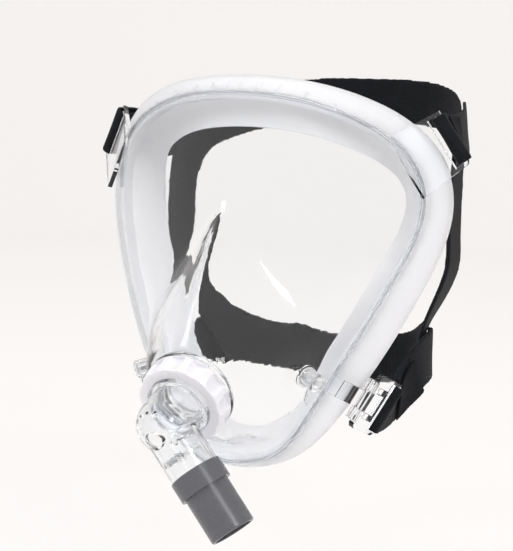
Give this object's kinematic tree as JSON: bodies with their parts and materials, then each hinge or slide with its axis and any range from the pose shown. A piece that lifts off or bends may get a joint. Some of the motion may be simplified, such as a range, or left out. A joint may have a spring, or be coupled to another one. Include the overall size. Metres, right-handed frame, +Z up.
{
  "type": "cpap mask",
  "caption": "Clear total-face breathing mask with a silicone cushion, swivel elbow, grey hose connector, quick-release clips and black four-point headgear.",
  "frame": {"origin": "middle of the face opening at the depth of the forehead edge of the window, where the wearer's face holds the mask", "axes": "+X to the wearer's left, -Y to the front, +Z up"},
  "size_m": [0.203, 0.2446, 0.2149],
  "materials": {
    "clear_plastic": "clear polycarbonate",
    "frosted_silicone": "translucent silicone",
    "milky_plastic": "milky white",
    "clear_silicone": "clear silicone",
    "grey_plastic": "satin mid grey",
    "steel_pin": "plain",
    "black_webbing": "soft laminated fabric",
    "black_hook": "hook tape"
  },
  "bodies": {
    "mask": {"faceplate": "clear_plastic", "face_cushion": "frosted_silicone", "cushion_retainer": "clear_plastic", "port_seal": "clear_silicone", "headgear_yoke": "black_webbing", "upper_strap_left": "black_webbing", "upper_strap_right": "black_webbing", "upper_hook_tab_left": "black_hook", "upper_hook_tab_right": "black_hook", "lower_strap_left": "black_webbing", "lower_strap_right": "black_webbing"},
    "elbow": {"elbow": "clear_plastic", "valve_pin": "steel_pin"},
    "connector": {"tube_connector": "grey_plastic"},
    "lock_ring": {"lock_ring": "milky_plastic"},
    "valve_flap": {"valve_flap": "clear_silicone"},
    "cap_left": {"port_cap_left": "clear_silicone"},
    "clip_left": {"clip_left": "clear_plastic", "lower_hook_tab_left": "black_hook"},
    "cap_right": {"port_cap_right": "clear_silicone"},
    "clip_right": {"clip_right": "clear_plastic", "lower_hook_tab_right": "black_hook"}
  },
  "joints": [
    {"name": "elbow_swivel", "type": "hinge", "parent": "mask", "child": "elbow", "pos_m": [0, -0.036, -0.057], "axis": [0, -0.891, -0.454], "continuous": true},
    {"name": "connector_swivel", "type": "hinge", "parent": "elbow", "child": "connector", "pos_m": [0, -0.05738, -0.0679], "axis": [0.604, 0.0221, -0.7967], "continuous": true},
    {"name": "lock_ring_turn", "type": "hinge", "parent": "mask", "child": "lock_ring", "pos_m": [0, -0.036, -0.057], "axis": [0, -0.891, -0.454], "range_deg": [0, 45]},
    {"name": "valve_flap_swing", "type": "hinge", "parent": "elbow", "child": "valve_flap", "pos_m": [0.00838, -0.06391, -0.08243], "axis": [0.766, -0.2918, 0.5727], "range_deg": [0, 60]},
    {"name": "port_cap_pull_left", "type": "slide", "parent": "mask", "child": "cap_left", "axis": [0.8841, -0.3502, -0.3095], "range_m": [0, 0.01]},
    {"name": "clip_swing_left", "type": "hinge", "parent": "mask", "child": "clip_left", "pos_m": [0.0574, 0.035, -0.0626], "axis": [0.4601, 0.22, 0.8602], "range_deg": [-10, 20], "deforming": ["lower_strap_left"]},
    {"name": "port_cap_pull_right", "type": "slide", "parent": "mask", "child": "cap_right", "axis": [-0.8841, -0.3502, -0.3095], "range_m": [0, 0.01]},
    {"name": "clip_swing_right", "type": "hinge", "parent": "mask", "child": "clip_right", "pos_m": [-0.0574, 0.035, -0.0626], "axis": [0.4601, -0.22, -0.8602], "range_deg": [-10, 20], "deforming": ["lower_strap_right"]}
  ]
}
